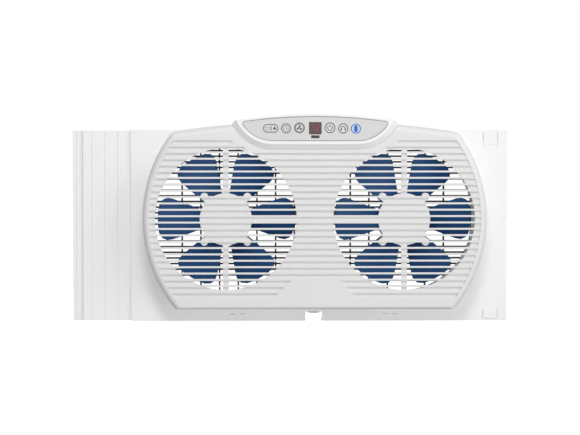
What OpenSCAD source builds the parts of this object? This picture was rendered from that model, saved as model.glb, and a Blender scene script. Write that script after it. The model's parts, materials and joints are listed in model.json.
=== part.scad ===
// Twin window fan with a front control panel and a sliding side panel.
// X runs to the right, Y runs away from the room, Z runs up from the window sill.
// The front of the flange lies on Y = 0 and the midline between the fans on X = 0.

/* [Main frame] */
// How far the flange shows beside the cover at the left
flange_left = 18.8; // [15:0.2:24]
// How far the flange shows beside the cover at the right
flange_right = 35.8; // [32:0.2:42]
// How much taller the frame is than the mouth of a duct
frame_room = 75.8; // [70:0.2:84]
// Thickness of the flange plate
flange_t = 2.5; // [2:0.1:3]
// Wall thickness of the moulded shells
wall = 2.5; // [2:0.1:3]
// Depth of the rear box behind the flange's front
box_d = 30; // [28:1:40]
// How far the rear box lies inside the outline of the cover
box_inset = 14; // [13:0.5:16]
// Height of the rear box's floor above the sill
box_floor = 16.5; // [15:0.5:18]
// Width of the cord notch
notch_w = 25.4; // [22:0.2:30]
// Radius of the thumb recess at the right edge
thumb_r = 14; // [10:0.5:18]
// Distance from the midline to the middle of each foot socket
foot_x = 118.5; // [110:0.5:130]
// Inside width of a foot socket
foot_w = 31; // [24:0.5:36]
// Inside depth of a foot socket, from the flange's back
foot_d = 9; // [7:0.5:11]
// Inside height of a foot socket
foot_h = 12; // [9:0.5:13]

/* [Cover] */
// Distance from the mouth of a duct to the side edge of the cover
end_margin = 18.8; // [16:0.2:22]
// Depth of the cover from the flange to the middle of its face
cover_d = 68; // [64:0.5:76]
// Radius of the round left and right ends
lobe_r = 220; // [210:1:230]
// Height of the widest place of the cover above the fan axes
lobe_rise = 1; // [-2:0.5:3]
// Height of the lower edge
cover_floor = 20.5; // [18.5:0.5:24]
// How far the arched upper edge stands above the frame on the midline
crest_rise = 14.3; // [10:0.1:18]
// Radius of the arched upper edge
crest_r = 1472.5; // [1300:10:1700]
// Thickness of the slatted face
face_t = 6.5; // [5.5:0.1:8]
// Width of the rolled front edge
roll_w = 9; // [7:0.5:11]
// Depth of the rolled front edge
roll_d = 10; // [8:0.5:12]
// Width and depth of the tighter roll along the lower edge
low_roll = 5; // [4:0.5:9]
// How far the side walls lean in
draft = 2.5; // [1:0.5:4]
// Radius of the upper corners
top_corner_r = 17; // [12:1:24]
// Radius of the lower corners
low_corner_r = 14; // [10:1:20]

/* [Slats] */
// Distance from one groove to the next
slat_pitch = 9.7; // [9.5:0.05:9.9]
// Height of a groove
groove_h = 6.9; // [6.4:0.1:7.4]
// Depth of a groove
groove_d = 4; // [3:0.1:4.5]
// How far the grooves reach past the fan openings, above and below
groove_spill = 12; // [10:0.5:15]
// How far out from the control panel's lower corner the top groove ends
groove_end_out = 61.6; // [58:0.2:66]
// How much further in the groove below it ends
groove_end_step = 19.2; // [15:0.2:22]
// Distance from the ends of the grooves to the side edge of the cover
groove_margin = 12.5; // [11:0.5:16]
// How far the cover laps over the mouth of a duct
opening_lip = 2.5; // [1.5:0.1:5]
// Width of the upright post across each opening
post_w = 8.8; // [7:0.2:12]
// Radius of the round motor pad
pad_r = 39.7; // [38:0.1:41]
// Radius of the four ears of a motor pad
ear_r = 5.8; // [5:0.1:7]
// Distance across the ears, sideways
ear_dx = 65.4; // [64:0.2:67]
// Distance across the ears, upwards
ear_dz = 69; // [68:0.2:71]
// Half width of the plain panel at its narrow upper side
plate_half_w = 35.5; // [30:0.5:40]

/* [Fans] */
// Clear distance between the mouths of the two ducts
fan_gap = 50.8; // [48:0.2:56]
// Height of the fan axes above half the height of the frame
fan_rise = 11.8; // [10:0.1:14]
// Radius over the blade tips
blade_r = 105; // [98:0.5:106]
// Blades on each fan
blade_count = 6; // [5:1:7]
// Angle of a blade's straight edge
blade_start = 39.5; // [0:0.5:59]
// Angle that a blade covers at its root
blade_root_arc = 43; // [36:1:44]
// Angle that a blade covers at its tip
blade_tip_arc = 41; // [30:1:44]
// Thickness of a blade at its middle
blade_t = 2.2; // [1.8:0.1:3]
// Depth of a blade at its root, along the shaft
blade_root_depth = 24; // [20:0.5:26]
// Depth of a blade at its tip, along the shaft
blade_tip_depth = 17; // [12:0.5:22]
// Radius of a blade's outer corners
blade_corner = 16; // [8:1:24]
// Running gap between the motor case and the fan hub round it
hub_gap = 3.5; // [3:0.1:5]
// Length of the fan hub
hub_l = 29; // [27:0.5:31]
// Wall of the fan hub
hub_wall = 2.5; // [2:0.1:3]
// Distance of the hub's closed end in front of the flange plane
hub_end = 18; // [16:0.5:19]
// Running gap between the blade tips and the duct
tip_gap = 5.5; // [5:0.1:6]
// Wall of the ducts
duct_wall = 2.4; // [2:0.1:3]
// How far the ducts reach in front of the flange plane
duct_front = 50; // [44:0.5:52]
// How far the ducts reach behind the flange plane
duct_back = 36; // [33:0.5:44]
// How much larger a duct's radius is at its back than at its front
duct_spread = 5; // [3:0.5:5.5]

/* [Motors] */
// Outer radius of the motor case
motor_r = 34; // [32:0.5:35]
// Length of the motor case
motor_l = 24; // [22:0.5:25]
// Wall of the motor case
motor_wall = 1.6; // [1.2:0.1:2]
// Distance of the motor flange's front from the flange plane
motor_front = 50; // [49:0.5:51]
// Thickness of the motor flange and bells
bell_t = 2; // [1.6:0.1:2.4]
// Radius of the shaft
shaft_r = 3; // [2.5:0.1:3.5]
// Running clearance of the shaft in its bearings
shaft_gap = 0.04; // [0.02:0.01:0.08]
// Outer radius of a bearing
bearing_r = 7; // [6:0.1:8]
// Length of a bearing
bearing_l = 6; // [5:0.5:6.5]
// Outer radius of the rotor
rotor_r = 17; // [15:0.5:19]
// Length of the rotor and the lamination stack
stack_l = 12; // [10:0.5:13]
// Length of the blade nut
nut_l = 11; // [9:0.5:13]
// Radius of the blade nut
nut_r = 9; // [8:0.5:11]

/* [Rear grille] */
// Distance between the upright bars
bar_pitch_x = 29.4; // [28:0.1:32]
// Distance between the cross bars
bar_pitch_z = 8.9; // [8.2:0.1:10]
// Height of the lowest cross bar's middle
bar_base = 33.9; // [32:0.1:36]
// Width of a bar
bar_w = 2.6; // [2:0.1:3.2]
// Depth of the rear grille
grille_d = 6; // [5:0.5:8]
// Width of the grille's rim
rim_w = 7; // [6:0.5:9]

/* [Control panel] */
// Front of the control panel, from the flange plane
bezel_front = 73; // [71.5:0.5:76]
// How far the control panel's shell reaches back from its front
bezel_l = 33; // [30:0.5:36]
// Height of the control panel on the midline
bezel_h = 53.5; // [52:0.1:55]
// How far its upper edge stands above the cover's on the midline
bezel_rise = 8.9; // [7.5:0.1:11]
// Radius of its arched upper edge
bezel_crest_r = 777; // [740:1:820]
// Radius of its round lower corners
bezel_corner_r = 69; // [66:0.5:71]
// Distance from the midline to the middle of a lower corner
bezel_corner_x = 64; // [62:0.5:66]
// How far the line of a cut-off upper corner meets the midline above the crest
bezel_tip = 111.8; // [109:0.1:114]
// Width of its sloping border
bezel_slope = 8; // [6:0.5:9]
// Width of the flat rim beside and below the overlay
bezel_rim = 4.8; // [4:0.1:5.5]
// Width of the flat rim above the overlay
crest_rim = 3.4; // [2.8:0.1:4]
// Radius of the overlay's two upper tips
overlay_tip_r = 4; // [3:0.5:5]
// Open line round the overlay
overlay_gap = 0.7; // [0.4:0.1:0.9]
// Thickness of the overlay
overlay_t = 1.2; // [0.8:0.1:1.6]
// How deep the overlay lies below the rim
overlay_sink = 0.4; // [0.2:0.1:0.8]
// Thickness of the plate behind the overlay
plate_t = 3; // [2.5:0.1:3.5]
// Radius of the fan speed and power buttons
button_r = 7.9; // [7:0.1:8.2]
// Radius of the timer, sound and pairing buttons
small_button_r = 7.4; // [6.8:0.1:7.8]
// Width of the mode button
mode_w = 22.8; // [20:0.2:24]
// Height of the mode button
mode_h = 12.5; // [11:0.1:14]
// Travel of a button
button_travel = 0.6; // [0.4:0.1:0.8]
// Clearance round a button
button_gap = 0.3; // [0.2:0.05:0.4]
// How far a button stands out of the overlay
button_proud = 0.5; // [0.3:0.1:1]
// Width of the display window
display_w = 19; // [17:0.5:20]
// Height of the display window
display_h = 18.5; // [16:0.5:19]

/* [Side panel] */
// How much of the ribbed slide shows beside the flange
slide_show = 74.4; // [68:0.2:82]
// How far the ribbed slide reaches in behind the flange
slide_hidden = 31; // [26:0.5:31.5]
// Width of the end strip of the outer slide
strip_w = 15.9; // [12:0.1:20]
// How far the outer slide reaches in behind the ribbed slide
strip_hidden = 88; // [80:1:92]
// Thickness of both slides
slide_t = 2.2; // [1.8:0.1:2.6]
// Depth of the slides' returned edges
slide_d = 11; // [9.5:0.5:14]
// Distance between the grooves of the ribbed slide
rib_pitch = 20.2; // [18:0.1:22]
// Running gap between slides, flange and rails
slide_gap = 0.5; // [0.4:0.05:0.6]

/* [Latches] */
// Width of a latch tongue
latch_w = 21.7; // [18:0.1:24]
// Height of a latch tongue
latch_h = 25.6; // [22:0.1:28]
// Distance from a latch tongue to the right edge of the frame
latch_edge = 14.9; // [12:0.1:18]
// Width of the slit round a latch tongue
slit_w = 0.8; // [0.6:0.1:1.2]

/* [Hidden] */
$fn = 96;

eps = 0.01;
clear = 0.3;
white = [0.92, 0.92, 0.92];
far = 900;

hub_r = motor_r + hub_gap + hub_wall;
duct_r = blade_r + tip_gap;
duct_back_r = duct_r + duct_spread;
opening_r = duct_r - opening_lip;
fan_x = duct_r + fan_gap / 2;
frame_h = 2 * duct_r + frame_room;
fan_z = frame_h / 2 + fan_rise;
cover_w = 2 * (fan_x + duct_r + end_margin);
frame_left = cover_w / 2 + flange_left;
frame_right = cover_w / 2 + flange_right;
slide_left = frame_left + slide_show;
cover_crest = frame_h + crest_rise;
bezel_crest = cover_crest + bezel_rise;
bezel_floor = bezel_crest - bezel_h;
lobe_x = cover_w / 2 - lobe_r;
lobe_z = fan_z + lobe_rise;
crest_z = cover_crest - crest_r;
groove_r = lobe_r - groove_margin;
groove_rows = floor((opening_r + groove_spill) / slat_pitch);
rear_y = duct_back;

// ---------------------------------------------------------------- helpers
// Extrudes an outline drawn in X and Z from depth y0 to depth y1
module slab(y0, y1) {
    translate([0, y1, 0]) rotate([90, 0, 0]) linear_extrude(y1 - y0) children();
}

// Turns a profile of [radius, distance in front of the flange plane] about a line along Y
module lathe(x, z) {
    translate([x, 0, z]) rotate([90, 0, 0]) rotate_extrude() children();
}

// Round bar along Y from y0 to y1
module rod(x, z, r, y0, y1) {
    translate([x, y1, z]) rotate([90, 0, 0]) cylinder(r = r, h = y1 - y0);
}

// Box given by its two corners
module block(x0, x1, y0, y1, z0, z1) {
    translate([x0, y0, z0]) cube([x1 - x0, y1 - y0, z1 - z0]);
}

module both_sides() {
    for (side = [-1, 1]) translate([side * fan_x, 0, fan_z]) children();
}

// ---------------------------------------------------------------- cover form
// Wall and rolled edge as [radius, distance in front of the flange plane]
roll_steps = 5;
function rolled(r, front, width = roll_w, depth = roll_d) = concat(
    [[0, 0], [r, 0]],
    [for (i = [0:roll_steps])
        let (a = 90 * i / roll_steps)
        [r - draft - width * (1 - cos(a)), front - depth * (1 - sin(a))]],
    [[0, front]]
);

edge_reach = 400;

// Round corner between the round end and a long edge: [x, z, radius, first angle, last angle].
// The arc stands out by bite, so that it crosses both edges at a small angle, and runs on
// past each of them by a few degrees.
bite = 0.15;
run_on = 15;
function low_corner() =
    let (z = cover_floor + low_corner_r - bite,
         reach = lobe_r - low_corner_r + bite,
         x = lobe_x + sqrt(reach * reach - pow(lobe_z - z, 2)))
    [x, z, low_corner_r, -90 - run_on, atan2(z - lobe_z, x - lobe_x) + run_on];
// Where two circles of radius ra and rb about a and b cross, to the left of the way from a to b
function crossing(a, ra, b, rb) =
    let (way = b - a,
         d = norm(way),
         along = (ra * ra - rb * rb + d * d) / (2 * d),
         up = sqrt(ra * ra - along * along))
    [a[0] + (along * way[0] - up * way[1]) / d, a[1] + (along * way[1] + up * way[0]) / d];
function top_corner() =
    let (middle = crossing([lobe_x, lobe_z], lobe_r - top_corner_r + bite,
             [0, crest_z], crest_r - top_corner_r + bite),
         x = middle[0],
         z = middle[1])
    [x, z, top_corner_r, atan2(z - lobe_z, x - lobe_x) - run_on, atan2(z - crest_z, x) + run_on];

module corner_cut(corner, inset, front, width, depth) {
    reach = 1.5 * corner[2];
    middle = (corner[3] + corner[4]) / 2;
    difference() {
        slab(-far / 4, 1) translate([corner[0], corner[1]]) polygon([
            [0, 0],
            reach * [cos(corner[3]), sin(corner[3])],
            reach * [cos(middle), sin(middle)],
            reach * [cos(corner[4]), sin(corner[4])]
        ]);
        translate([0, 2, 0]) lathe(corner[0], corner[1])
            polygon(rolled(corner[2] - inset, front + 2, width, depth));
    }
}

// The solid shape of the cover, with its walls moved in and its face moved back
module cover_form(inset, sink) {
    difference() {
        intersection() {
            union() {
                for (side = [-1, 1]) lathe(side * lobe_x, lobe_z, $fn = 240)
                    polygon(rolled(lobe_r - inset, cover_d - sink));
            }
            lathe(0, crest_z, $fn = 720) polygon(rolled(crest_r - inset, cover_d - sink));
            rotate([90, 0, 90]) translate([0, 0, -edge_reach]) linear_extrude(2 * edge_reach)
                polygon([for (p = rolled(edge_reach, cover_d - sink, low_roll, low_roll))
                    [-p[1], cover_floor + inset + edge_reach - p[0]]]);
        }
        for (side = [0, 1]) mirror([side, 0, 0]) {
            corner_cut(low_corner(), inset, cover_d - sink, low_roll, low_roll);
            corner_cut(top_corner(), inset, cover_d - sink, roll_w, roll_d);
        }
    }
}

// Plan of the cover with straight walls, for the rear box and the frame
module cover_plan(inset, floor_z) {
    intersection() {
        union() {
            for (side = [-1, 1]) translate([side * lobe_x, lobe_z])
                circle(r = lobe_r - inset, $fn = 240);
        }
        translate([0, crest_z]) circle(r = crest_r - inset, $fn = 720);
        translate([-edge_reach, floor_z]) square([2 * edge_reach, edge_reach]);
    }
}

// ---------------------------------------------------------------- slats
module groove_bars(first, last) {
    for (row = [first:last])
        block(-edge_reach, edge_reach, -cover_d - 1, -cover_d + groove_d,
            fan_z + row * slat_pitch - groove_h / 2, fan_z + row * slat_pitch + groove_h / 2);
}

// Plain panel in the lower middle, where the lowest grooves stop
plate_top = fan_z - (groove_rows - 2.5) * slat_pitch;
plate_low = fan_z - (groove_rows + 0.5) * slat_pitch;
module plain_panel() {
    slope = 1.02;
    wide = plate_half_w + slope * (plate_top - plate_low);
    slab(-far / 8, 0) polygon([
        [-plate_half_w, plate_top], [plate_half_w, plate_top],
        [wide, plate_low], [-wide, plate_low]
    ]);
}

// The two top grooves stop beside the control panel with round ends
module top_grooves() {
    for (side = [0, 1], step = [0, 1]) mirror([side, 0, 0]) {
        x = bezel_corner_x + groove_end_out - step * groove_end_step + groove_h / 2;
        z = fan_z + (groove_rows - step) * slat_pitch;
        rod(x, z, groove_h / 2, -cover_d - 1, -cover_d + groove_d);
        block(x, edge_reach, -cover_d - 1, -cover_d + groove_d, z - groove_h / 2, z + groove_h / 2);
    }
}

module groove_field() {
    intersection() {
        difference() {
            union() {
                groove_bars(-groove_rows, groove_rows - 2);
                top_grooves();
            }
            plain_panel();
        }
        union() {
            for (side = [-1, 1]) rod(side * lobe_x, lobe_z, groove_r, -far / 8, 0, $fn = 240);
        }
    }
}

// How far the openings reach past the groove floors
slat_overlap = 0.2;
// Half width of the arms from a pad or a motor flange out to its ears
arm_half = 0.85 * ear_r;
module pad_plan() {
    rod(0, 0, pad_r, -far / 8, 0);
    for (sx = [-1, 1], sz = [-1, 1]) {
        rod(sx * ear_dx / 2, sz * ear_dz / 2, ear_r, -far / 8, 0);
        rotate([0, -atan2(sz * ear_dz, sx * ear_dx), 0])
            block(0, norm([ear_dx, ear_dz]) / 2, -far / 8, 0, -arm_half, arm_half);
    }
}

// Round openings behind the slats. The motor pad, an upright post and a strut from the pad
// towards the midline are left standing, all behind the slats.
module fan_openings() {
    for (side = [-1, 1]) translate([side * fan_x, 0, fan_z]) difference() {
        rod(0, 0, opening_r, -cover_d + groove_d - slat_overlap, -duct_front + 1);
        pad_plan();
        block(-post_w / 2, post_w / 2, -far / 8, 0, -opening_r, opening_r);
        block(min(0, -side * opening_r), max(0, -side * opening_r), -far / 8, 0,
            -slat_pitch / 2, slat_pitch / 2);
    }
}

// ---------------------------------------------------------------- screws
screw_r = 1.9;
screw_gap = 0.05;
head_r = 3.6;
head_l = 2.4;
// Pan head screw along Y: its head's seat lies at depth y, and its shank points to the room
module screw(x, y, z, length) {
    rod(x, z, screw_r, y - length, y + eps);
    translate([x, y, z]) rotate([-90, 0, 0])
        cylinder(r1 = head_r, r2 = head_r - 0.8, h = head_l);
}

boss_r = 5.5;
// The corner screws pass the ducts with this much room, at these angles about the fan axes
boss_room = 1;
upper_boss_angle = 58;
lower_boss_angle = -60;
boss_reach = duct_back_r + duct_wall + boss_r + boss_room;
// The middle screws keep this distance from the control panel and from the rear box's floor
boss_drop = 30;
boss_lift = 44;
cover_screw_at = [
    for (side = [-1, 1], a = [lower_boss_angle, upper_boss_angle])
        [side * (fan_x + boss_reach * cos(a)), fan_z + boss_reach * sin(a)],
    [0, box_floor + boss_lift],
    [0, bezel_floor - boss_drop]
];
// The grille's screws stand between the ducts, this far inside the rear box's outline
grille_screw_in = 19;
grille_screw_x = fan_x - duct_r / 2 - boss_r;
function crest_at(x, inset) = crest_z + sqrt(pow(crest_r - inset, 2) - x * x);
grille_screw_at = [
    for (side = [-1, 1]) [side * grille_screw_x, box_floor - wall + grille_screw_in + boss_r],
    for (side = [-1, 1]) [side * grille_screw_x,
        crest_at(grille_screw_x, box_inset) - grille_screw_in]
];
seat_y = 6;
cover_screw_l = 20;
grille_screw_l = 11;

// ---------------------------------------------------------------- main housing
rail_y = flange_t + 3 * slide_gap + 2 * slide_t;
rail_t = 2.6;
rail_h = 12;
box_end = lobe_x + lobe_r - box_inset;
panel_z0 = 0.8;
rail_z0 = panel_z0 + slide_t + slide_gap;

module main_housing() {
    color(white) difference() {
        union() {
            flange();
            difference() {
                slab(0, box_d) cover_plan(box_inset, box_floor - wall);
                slab(-1, box_d - wall) cover_plan(box_inset + wall, box_floor);
                both_sides() rod(0, 0, duct_back_r + duct_wall / 2, box_d - wall - 1, box_d + 1);
            }
            both_sides() duct();
            ledges();
            for (p = cover_screw_at) rod(p[0], p[1], boss_r, 0, box_d);
            for (p = grille_screw_at) rod(p[0], p[1], boss_r - 1, box_d - grille_screw_l, rear_y);
            guide_rails();
            for (side = [-1, 1]) foot_socket(side * foot_x);
            power_board_posts();
        }
        for (p = cover_screw_at) {
            rod(p[0], p[1], screw_r + 0.2, -1, box_d + 1);
            rod(p[0], p[1], head_r + 0.5, seat_y, box_d + 1);
        }
        for (p = grille_screw_at)
            rod(p[0], p[1], screw_r + screw_gap, box_d - grille_screw_l + 1, rear_y + 1);
        for (side = [-1, 1]) foot_pocket(side * foot_x);
        // cord notch, open to the sill, and the seat of the gland above it
        block(-notch_w / 2, notch_w / 2, -1, box_d + 1, -1, box_floor - wall - eps);
        translate([0, gland_y, box_floor - wall - 1])
            cylinder(r = gland_r + screw_gap, h = wall + 2);
        // thumb recess
        rod(frame_right, frame_h / 2, thumb_r, -1, flange_t / 2);
        latch_window(1);
        latch_window(-1);
        power_board_holes();
    }
}

module flange() {
    difference() {
        slab(0, flange_t) difference() {
            union() {
                translate([-frame_left, 0]) square([frame_left + frame_right, frame_h]);
                intersection() {
                    cover_plan(0, cover_floor);
                    translate([-edge_reach, frame_h - wall]) square([2 * edge_reach, edge_reach]);
                }
            }
            cover_plan(box_inset + wall, cover_floor + wall);
        }
    }
}

// Duct that widens towards the back, with a flared mouth at each end, about the fan's axis
module duct() {
    flare = 2;
    rotate([90, 0, 0]) rotate_extrude() polygon([
        [duct_back_r, -duct_back + flare], [duct_r, duct_front - flare],
        [duct_r + flare / 2, duct_front], [duct_r + duct_wall, duct_front],
        [duct_back_r + duct_wall, -duct_back], [duct_back_r + flare / 2, -duct_back]
    ]);
}

// Flat ledges that rest on the sill and under the sash, with webs to the rear box
module ledges() {
    right_end = box_end + 2;
    block(-box_end, right_end, 0, box_d, 0, wall);
    block(-box_end, right_end, 0, box_d, frame_h - wall, frame_h);
    web_gap = 0.48 * fan_x;
    web_x = [for (i = [-3:3]) i * web_gap];
    end_web_in = 12;
    intersection() {
        union() {
            for (x = web_x) if (abs(x) > notch_w)
                block(x - wall / 2, x + wall / 2, 0, box_d, 0, box_floor);
            for (side = [-1, 1]) {
                x = side * (box_end - end_web_in);
                block(x - wall / 2, x + wall / 2, 0, box_d, 0, frame_h);
            }
            for (side = [-1, 1]) {
                x = side * 3 * web_gap;
                block(x - wall / 2, x + wall / 2, 0, box_d, frame_h / 2, frame_h);
            }
        }
        difference() {
            block(-edge_reach, edge_reach, 0, box_d, 0, frame_h);
            slab(-1, box_d + 1) cover_plan(box_inset + wall / 2, box_floor - wall / 2);
        }
    }
}

// Rails that the slides run on, at the left and at the right end of the frame
module guide_rails() {
    rail_lap = 14;
    for (top = [0, 1], side = [-1, 1]) {
        z0 = top == 0 ? rail_z0 : frame_h - rail_z0 - rail_h;
        end = side < 0 ? frame_left : frame_right;
        x0 = min(side * (box_end - rail_lap), side * (end - 1));
        x1 = max(side * (box_end - rail_lap), side * (end - 1));
        block(x0, x1, rail_y, rail_y + rail_t, z0, z0 + rail_h);
    }
}

module foot_socket(x) {
    block(x - foot_w / 2 - wall, x + foot_w / 2 + wall, 0, flange_t + foot_d + wall,
        0, foot_h + wall);
    // three slanted ribs that guide the foot's tongue
    for (i = [-1:1]) translate([x + i * foot_w * 0.42, 0, foot_h * 0.22]) rotate([0, 24, 0])
        block(-0.5, 0.5, -0.8, flange_t / 2, -foot_h * 0.16, foot_h * 0.16);
}

module foot_pocket(x) {
    block(x - foot_w / 2, x + foot_w / 2, flange_t, flange_t + foot_d, -1, foot_h);
    // windows for the foot's two catches
    for (side = [-1, 1])
        block(x + side * foot_w / 4 - 4.5, x + side * foot_w / 4 + 4.5, -1, flange_t + 1,
            foot_h - 2, foot_h - 0.4);
}

// ---------------------------------------------------------------- front cover
bezel_back = bezel_front - bezel_l;

// The bosses end inside the face, behind the grooves
boss_end = -cover_d + face_t - 1;

module front_cover() {
    color(white) difference() {
        union() {
            difference() {
                cover_form(0, 0);
                translate([0, 1, 0]) cover_form(wall, face_t - 1);
            }
            // bosses for the cover screws, the motors and the loudspeaker
            for (p = cover_screw_at) rod(p[0], p[1], boss_r - 0.5, boss_end, 0);
            both_sides() for (sx = [-1, 1], sz = [-1, 1])
                rod(sx * ear_dx / 2, sz * ear_dz / 2, ear_r - 0.8, boss_end, -motor_front);
            speaker_bosses();
        }
        groove_field();
        fan_openings();
        for (p = cover_screw_at) rod(p[0], p[1], screw_r + screw_gap, -cover_screw_l, 1);
        both_sides() for (sx = [-1, 1], sz = [-1, 1])
            rod(sx * ear_dx / 2, sz * ear_dz / 2, screw_r + screw_gap,
                -motor_front - motor_screw_l + bell_t, -motor_front + 1);
        bezel_hole();
        speaker_holes();
    }
}

// ---------------------------------------------------------------- rear grille
// Opening of the grille's rim, which leaves the ends of the ducts free
rim_min = 2;
module grille_opening(lap) {
    cover_plan(box_inset + rim_w - lap, box_floor - wall + rim_w - lap);
    intersection() {
        cover_plan(box_inset + rim_min - lap, box_floor - wall + rim_min - lap);
        for (side = [-1, 1]) translate([side * fan_x, fan_z]) circle(r = duct_back_r + lap);
    }
}

module rear_grille() {
    columns = floor((box_end - rim_w) / bar_pitch_x) - 1;
    rows = floor((cover_crest - box_inset - bar_base) / bar_pitch_z);
    rear_z1 = rear_y + grille_d;
    color([0.06, 0.06, 0.07]) difference() {
        union() {
            difference() {
                slab(rear_y, rear_z1) cover_plan(box_inset, box_floor - wall);
                slab(rear_y - 1, rear_z1 + 1) grille_opening(0);
            }
            // skirt that reaches forward to the rear box
            difference() {
                slab(box_d, rear_y + eps) cover_plan(box_inset, box_floor - wall);
                slab(box_d - 1, rear_y + 1) cover_plan(box_inset + wall, box_floor);
                both_sides() rod(0, 0, duct_back_r + duct_wall + clear, box_d - 1, rear_y);
            }
            intersection() {
                union() {
                    for (i = [-columns:columns])
                        block(i * bar_pitch_x - bar_w / 2, i * bar_pitch_x + bar_w / 2,
                            rear_y, rear_z1 - 1, 0, edge_reach);
                    for (i = [0:rows])
                        block(-edge_reach, edge_reach, rear_y + 1, rear_z1,
                            bar_base + i * bar_pitch_z - bar_w / 2,
                            bar_base + i * bar_pitch_z + bar_w / 2);
                }
                slab(rear_y, rear_z1) grille_opening(1);
            }
            for (p = grille_screw_at) rod(p[0], p[1], boss_r, rear_y, rear_z1);
        }
        for (p = grille_screw_at) {
            rod(p[0], p[1], screw_r + 0.2, rear_y - 1, rear_z1 + 1);
            rod(p[0], p[1], head_r + 0.3, rear_z1 - head_l, rear_z1 + 1);
        }
    }
}

module grille_screws() {
    color("dimgray") for (p = grille_screw_at)
        screw(p[0], rear_y + grille_d - head_l, p[1], grille_screw_l + grille_d - head_l - 1);
}

module cover_screws() {
    color("silver") for (p = cover_screw_at) screw(p[0], seat_y, p[1], cover_screw_l + seat_y - 2);
}

// ---------------------------------------------------------------- motors
motor_screw_l = 8;
bell_back = motor_front - bell_t - motor_l;

// Flange, front bearing housing and case of a motor, open at the back
module motor_case(side) {
    color("lightsteelblue") translate([side * fan_x, 0, fan_z]) difference() {
        union() {
            rod(0, 0, motor_r, -motor_front, -bell_back);
            for (sx = [-1, 1], sz = [-1, 1]) {
                rod(sx * ear_dx / 2, sz * ear_dz / 2, ear_r, -motor_front, -motor_front + bell_t);
                rotate([0, -atan2(sz * ear_dz, sx * ear_dx), 0])
                    block(0, norm([ear_dx, ear_dz]) / 2, -motor_front, -motor_front + bell_t,
                        -arm_half, arm_half);
            }
            rod(0, 0, bearing_r + 1.6, -motor_front - bearing_l, -motor_front);
        }
        rod(0, 0, motor_r - motor_wall, -motor_front + bell_t, 0);
        rod(0, 0, bearing_r, -motor_front - bearing_l + 0.8, 0);
        for (sx = [-1, 1], sz = [-1, 1])
            rod(sx * ear_dx / 2, sz * ear_dz / 2, screw_r + 0.2, -motor_front - 1,
                -motor_front + bell_t + 1);
    }
}

// Rear end bell, pressed into the case
module motor_bell(side) {
    color("lightsteelblue") translate([side * fan_x, 0, fan_z]) difference() {
        union() {
            rod(0, 0, motor_r, -bell_back, -bell_back + bell_t);
            rod(0, 0, motor_r - motor_wall, -bell_back - 2, -bell_back);
            rod(0, 0, bearing_r + 1.6, -bell_back - bearing_l, -bell_back);
        }
        difference() {
            rod(0, 0, motor_r - 2 * motor_wall, -bell_back - 3, -bell_back);
            rod(0, 0, bearing_r + 1.6, -bell_back - bearing_l, -bell_back + 1);
        }
        rod(0, 0, bearing_r, -bell_back - bearing_l - 1, -bell_back + bell_t - 0.8);
        rod(0, 0, shaft_r + 0.8, -bell_back, -bell_back + bell_t + 1);
        for (a = [0:60:300]) rotate([0, a, 0])
            rod(motor_r * 0.6, 0, 3, -bell_back - 1, -bell_back + bell_t + 1);
    }
}

module bearings(side) {
    color("darkgoldenrod") translate([side * fan_x, 0, fan_z]) {
        bearing(-motor_front - bearing_l + 0.8);
        bearing(-bell_back - bearing_l + bell_t - 0.8);
    }
}
module bearing(y0) {
    difference() {
        rod(0, 0, bearing_r, y0, y0 + bearing_l);
        rod(0, 0, shaft_r + shaft_gap, y0 - 1, y0 + bearing_l + 1);
    }
}

stack_front = motor_front - bell_t - (motor_l - stack_l) / 2;
pole_count = 4;
// Lamination stack with four pole shoes round the rotor
module stator(side) {
    color("gray") translate([side * fan_x, 0, fan_z]) difference() {
        rod(0, 0, motor_r - motor_wall, -stack_front, -stack_front + stack_l);
        rod(0, 0, rotor_r + 0.5, -stack_front - 1, -stack_front + stack_l + 1);
        for (i = [0:pole_count - 1]) rotate([0, 45 + i * 360 / pole_count, 0])
            rod(rotor_r + 6, 0, 5.2, -stack_front - 1, -stack_front + stack_l + 1);
    }
}

// A coil in each slot of the stack
module windings(side) {
    color("peru") translate([side * fan_x, 0, fan_z])
        for (i = [0:pole_count - 1]) rotate([0, 45 + i * 360 / pole_count, 0])
            rod(rotor_r + 6, 0, 4.9, -stack_front - 3, -stack_front + stack_l + 3);
}

module motor_screws() {
    color("silver") both_sides() for (sx = [-1, 1], sz = [-1, 1])
        screw(sx * ear_dx / 2, -motor_front + bell_t, sz * ear_dz / 2, motor_screw_l);
}

// ---------------------------------------------------------------- fans
shaft_end = hub_end - nut_l + 1;
shaft_front = motor_front + bearing_l - 1.6;
hub_front = hub_end + hub_l;
blade_mid = hub_end + hub_l / 2 + 0.5;

// Cup over the motor, with a boss on the shaft
module hub() {
    boss = 7;
    boss_l = bell_back - bell_t - hub_end - clear;
    rotate([90, 0, 0]) rotate_extrude() polygon([
        [shaft_r + 0.02, hub_end], [hub_r - 2, hub_end], [hub_r, hub_end + 2], [hub_r, hub_front],
        [hub_r - hub_wall, hub_front], [hub_r - hub_wall, hub_end + hub_wall],
        [boss, hub_end + hub_wall], [boss, hub_end + boss_l], [shaft_r + 0.02, hub_end + boss_l]
    ]);
}

blade_rows = 7;
blade_cols = 6;
root_r = hub_r - hub_wall / 2;
// Radius of a station: even steps, closer together at the tip
function station(i) = root_r + (blade_r - root_r) * (1 - pow(1 - i / blade_rows, 1.6));
// How far the edges pull in at the round tip, in degrees
function pull_in(r) =
    r <= blade_r - blade_corner ? 0 :
    let (u = (r - blade_r + blade_corner) / blade_corner)
    (1 - sqrt(max(0, 1 - u * u))) * blade_corner / r * 180 / PI;
// Share of the way out from the root
function out(r) = (r - root_r) / (blade_r - root_r);
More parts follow.
